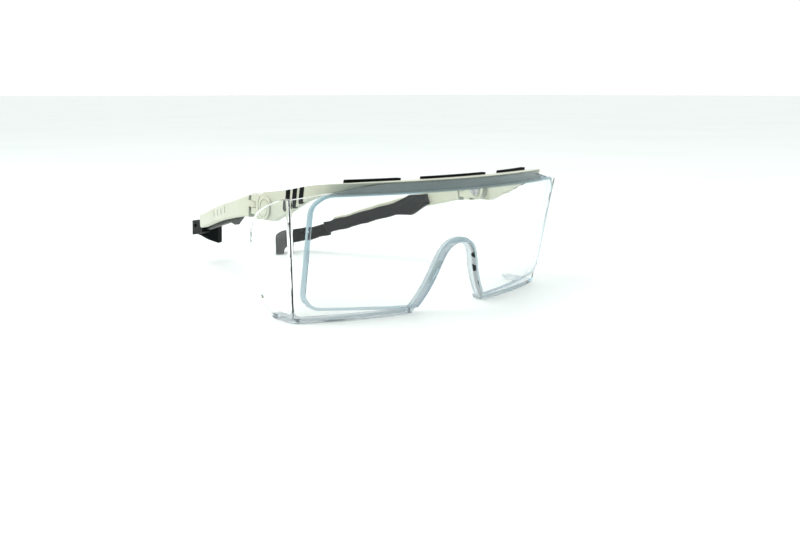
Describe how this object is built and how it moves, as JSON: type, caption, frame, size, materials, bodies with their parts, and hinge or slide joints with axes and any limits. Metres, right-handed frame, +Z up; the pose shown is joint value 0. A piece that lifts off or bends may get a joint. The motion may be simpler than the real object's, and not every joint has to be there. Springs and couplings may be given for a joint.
{
  "type": "over-glasses safety spectacles",
  "caption": "Clear wraparound safety spectacles worn over glasses, with side shields, brow pads and temples that fold, tilt and change length.",
  "frame": {"origin": "on the table plane under the middle of the overall box, on the wearer's mid plane", "axes": "+X towards the wearer's left, +Y back towards the ear tips, +Z up; the lens faces -Y"},
  "size_m": [0.152, 0.1844, 0.0569],
  "materials": {
    "clear_polycarbonate": "clear polished polycarbonate",
    "white_plastic": "satin translucent white nylon",
    "black_soft": "matte soft elastomer",
    "black_hard": "satin black nylon",
    "steel": "plain stainless steel"
  },
  "bodies": {
    "frame": {"lens": "clear_polycarbonate", "brow_bar": "white_plastic", "brow_pad_centre": "black_soft", "brow_pad_left": "black_soft", "brow_pad_right": "black_soft", "left_tilt_screw": "steel", "left_tilt_disc": "white_plastic", "left_slash_front": "black_soft", "left_slash_middle": "black_soft", "left_slash_rear": "black_soft", "right_tilt_screw": "steel", "right_tilt_disc": "white_plastic", "right_slash_front": "black_soft", "right_slash_middle": "black_soft", "right_slash_rear": "black_soft"},
    "left_hinge": {"left_tilt_block": "white_plastic", "left_fold_pin": "steel"},
    "left_temple": {"left_temple_shell": "white_plastic"},
    "left_tip": {"left_slider": "black_hard", "left_ear_tip": "black_soft"},
    "right_hinge": {"right_tilt_block": "white_plastic", "right_fold_pin": "steel"},
    "right_temple": {"right_temple_shell": "white_plastic"},
    "right_tip": {"right_slider": "black_hard", "right_ear_tip": "black_soft"}
  },
  "joints": [
    {"name": "left_tilt", "type": "hinge", "parent": "frame", "child": "left_hinge", "pos_m": [0.06, -0.03577, 0.0435], "axis": [1, 0, 0], "range_deg": [0, 8]},
    {"name": "left_fold", "type": "hinge", "parent": "left_hinge", "child": "left_temple", "pos_m": [0.0609, -0.02428, 0.04304], "axis": [0, 0.0227, 0.9997], "range_deg": [0, 66]},
    {"name": "left_length", "type": "slide", "parent": "left_temple", "child": "left_tip", "axis": [-0.2648, 0.923, -0.2793], "range_m": [-0.003, 0.006]},
    {"name": "right_tilt", "type": "hinge", "parent": "frame", "child": "right_hinge", "pos_m": [-0.06, -0.03577, 0.0435], "axis": [1, 0, 0], "range_deg": [-4.7, 3.3]},
    {"name": "right_fold", "type": "hinge", "parent": "right_hinge", "child": "right_temple", "pos_m": [-0.0609, -0.02428, 0.04398], "axis": [0, 0.0593, -0.9982], "range_deg": [0, 84]},
    {"name": "right_length", "type": "slide", "parent": "right_temple", "child": "right_tip", "axis": [0.2648, 0.9428, -0.2027], "range_m": [-0.003, 0.006]}
  ]
}
